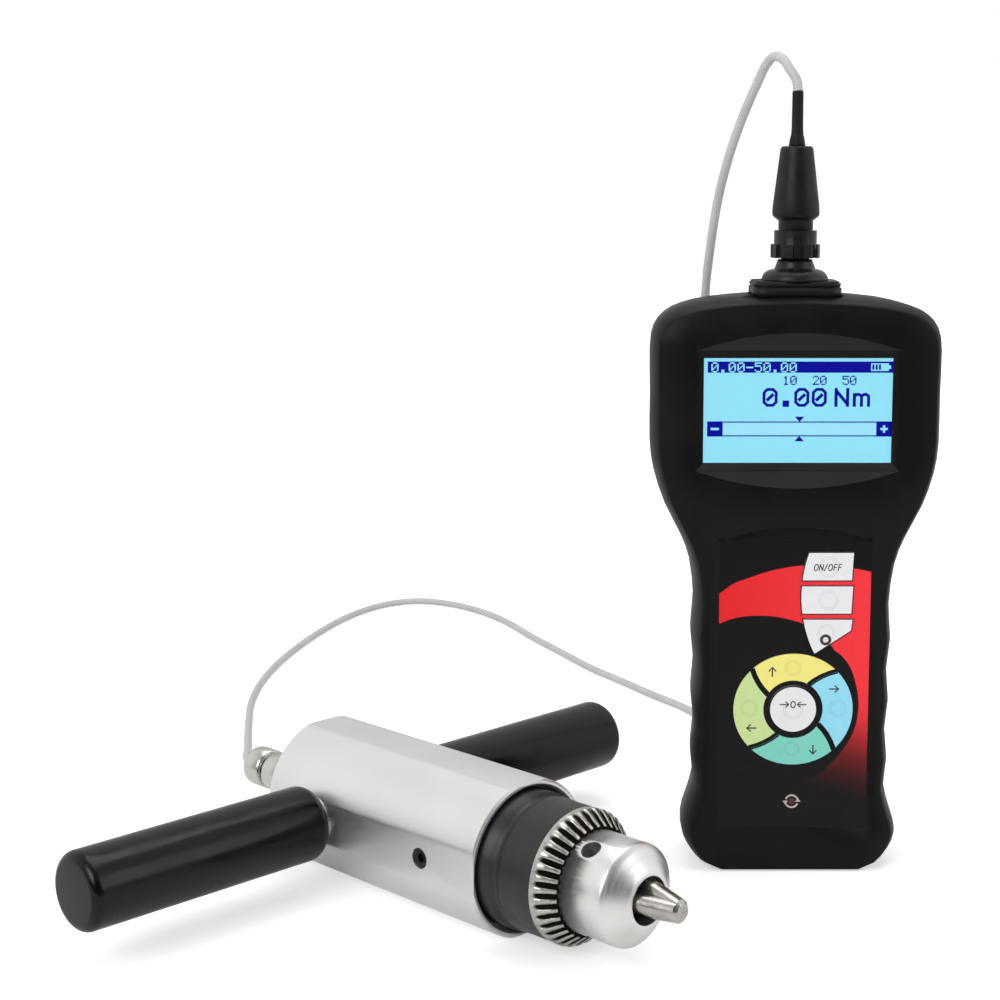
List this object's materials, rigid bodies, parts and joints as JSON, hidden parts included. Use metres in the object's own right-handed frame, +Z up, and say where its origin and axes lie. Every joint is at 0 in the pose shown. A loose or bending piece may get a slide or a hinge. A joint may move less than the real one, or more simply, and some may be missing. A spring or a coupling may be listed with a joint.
{
  "type": "hand-held torque meter with a T-handle chuck sensor",
  "caption": "Hand-held torque meter: an upright battery indicator with display and keypad, cabled to an aluminium torque sensor with a T-handle and a keyed chuck.",
  "frame": {"origin": "centre of the box round the indicator and the sensor without the cable and its plug, on the surface they stand on", "axes": "+Z up; the indicator faces -Y and stands on +X side; the sensor lies on the -X side with its chuck turned towards -Y and +X"},
  "size_m": [0.2849, 0.5145, 0.2813],
  "materials": {
    "bar_steel": "plated steel bar",
    "board": "green circuit board",
    "boot_black": "soft black sleeve",
    "cable_grey": "light grey PVC jacket",
    "case_black": "satin moulded black ABS",
    "cell": "wrapped battery cells",
    "chuck_steel": "turned bright steel",
    "collar": "moulded black collar",
    "connector": "satin black anodised connector shell",
    "contact": "nickel plated spring contacts",
    "dome": "steel snap domes",
    "door_black": "satin moulded black ABS",
    "gauge": "foil strain gauges on amber film",
    "gear_steel": "bright toothed ring",
    "gland_nickel": "nickel plated brass",
    "grip_vinyl": "dipped glossy black vinyl",
    "grub": "black oxide set screws",
    "housing_alu": "satin anodised aluminium",
    "jaw_steel": "ground hardened steel",
    "key_blue": "blue printed key",
    "key_green": "green printed key",
    "key_teal": "teal printed key",
    "key_white": "light grey printed key",
    "key_yellow": "yellow printed key",
    "keypad": "printed black overlay with a red swoosh",
    "lcd": "backlit display, light blue with dark blue segments",
    "lens_clear": "clear window over the display",
    "pins": "gold plated contacts in a dark insert",
    "plug_black": "moulded black plug shell",
    "screw_bright": "zinc plated steel",
    "screw_dark": "black zinc plated steel",
    "seal": "rubber seal",
    "sleeve_black": "satin black coated steel",
    "steel_ground": "ground steel"
  },
  "bodies": {
    "meter": {"front_cover": "case_black", "rear_cover": "case_black", "battery_door": "door_black", "door_screw": "screw_dark", "case_screws": "screw_dark", "board_screws": "screw_bright", "display_lens": "lens_clear", "lcd_module": "lcd", "keypad_sheet": "keypad", "main_board": "board", "dome_switches": "dome", "battery_cells": "cell", "battery_contacts": "contact", "socket_collar": "collar", "socket_shell": "connector", "socket_nut": "screw_bright", "socket_contacts": "pins", "plug_body": "plug_black", "plug_insert": "seal", "cable_boot": "boot_black", "sensor_cable": "cable_grey", "sensor_housing": "housing_alu", "rear_cap": "housing_alu", "gland_body": "gland_nickel", "gland_nut": "gland_nickel", "gland_seal": "seal", "torsion_shaft": "steel_ground", "strain_gauges": "gauge", "amplifier_board": "board", "front_bearing": "steel_ground", "grub_screws": "grub", "handle_bar": "bar_steel", "left_grip": "grip_vinyl", "right_grip": "grip_vinyl", "chuck_body": "chuck_steel"},
    "power_key_body": {"power_key": "key_white"},
    "unit_key_body": {"unit_key": "key_white"},
    "light_key_body": {"light_key": "key_white"},
    "up_key_body": {"up_key": "key_yellow"},
    "right_key_body": {"right_key": "key_blue"},
    "down_key_body": {"down_key": "key_teal"},
    "left_key_body": {"left_key": "key_green"},
    "enter_key_body": {"enter_key": "key_white"},
    "coupling_ring": {"bayonet_ring": "connector"},
    "chuck_turning_sleeve": {"chuck_sleeve": "sleeve_black", "toothed_ring": "gear_steel", "scroll_nut": "steel_ground"},
    "jaw_1_body": {"jaw_1": "jaw_steel"},
    "jaw_2_body": {"jaw_2": "jaw_steel"},
    "jaw_3_body": {"jaw_3": "jaw_steel"}
  },
  "joints": [
    {"name": "power_key_press", "type": "slide", "parent": "meter", "child": "power_key_body", "axis": [0, 1, 0], "range_m": [0, 0.00035], "stiffness_N_per_m": 800},
    {"name": "unit_key_press", "type": "slide", "parent": "meter", "child": "unit_key_body", "axis": [0, 1, 0], "range_m": [0, 0.00035], "stiffness_N_per_m": 800},
    {"name": "light_key_press", "type": "slide", "parent": "meter", "child": "light_key_body", "axis": [0, 1, 0], "range_m": [0, 0.00035], "stiffness_N_per_m": 800},
    {"name": "up_key_press", "type": "slide", "parent": "meter", "child": "up_key_body", "axis": [0, 1, 0], "range_m": [0, 0.00035], "stiffness_N_per_m": 800},
    {"name": "right_key_press", "type": "slide", "parent": "meter", "child": "right_key_body", "axis": [0, 1, 0], "range_m": [0, 0.00035], "stiffness_N_per_m": 800},
    {"name": "down_key_press", "type": "slide", "parent": "meter", "child": "down_key_body", "axis": [0, 1, 0], "range_m": [0, 0.00035], "stiffness_N_per_m": 800},
    {"name": "left_key_press", "type": "slide", "parent": "meter", "child": "left_key_body", "axis": [0, 1, 0], "range_m": [0, 0.00035], "stiffness_N_per_m": 800},
    {"name": "enter_key_press", "type": "slide", "parent": "meter", "child": "enter_key_body", "axis": [0, 1, 0], "range_m": [0, 0.00035], "stiffness_N_per_m": 800},
    {"name": "coupling_turn", "type": "hinge", "parent": "meter", "child": "coupling_ring", "pos_m": [0.0937, 0.0199, 0.216], "axis": [0, 0, 1], "range_deg": [0, 45]},
    {"name": "sleeve_turn", "type": "hinge", "parent": "meter", "child": "chuck_turning_sleeve", "pos_m": [0.0125, -0.05807, 0.0245], "axis": [0.7145, -0.6997, 0], "range_deg": [0, 7030]},
    {"name": "jaw_1_slide", "type": "slide", "parent": "meter", "child": "jaw_1_body", "axis": [-0.8443, 0.5358, 0], "range_m": [0, 0.03131]},
    {"name": "jaw_2_slide", "type": "slide", "parent": "meter", "child": "jaw_2_body", "axis": [-0.6261, 0.7586, -0.1801], "range_m": [0, 0.03131]},
    {"name": "jaw_3_slide", "type": "slide", "parent": "meter", "child": "jaw_3_body", "axis": [-0.6261, 0.7586, 0.1801], "range_m": [0, 0.03131]}
  ],
  "couplings": [
    {"joint": "jaw_1_slide", "follows": "sleeve_turn", "m_per_rad": 0.00025465},
    {"joint": "jaw_2_slide", "follows": "sleeve_turn", "m_per_rad": 0.00025465},
    {"joint": "jaw_3_slide", "follows": "sleeve_turn", "m_per_rad": 0.00025465}
  ]
}
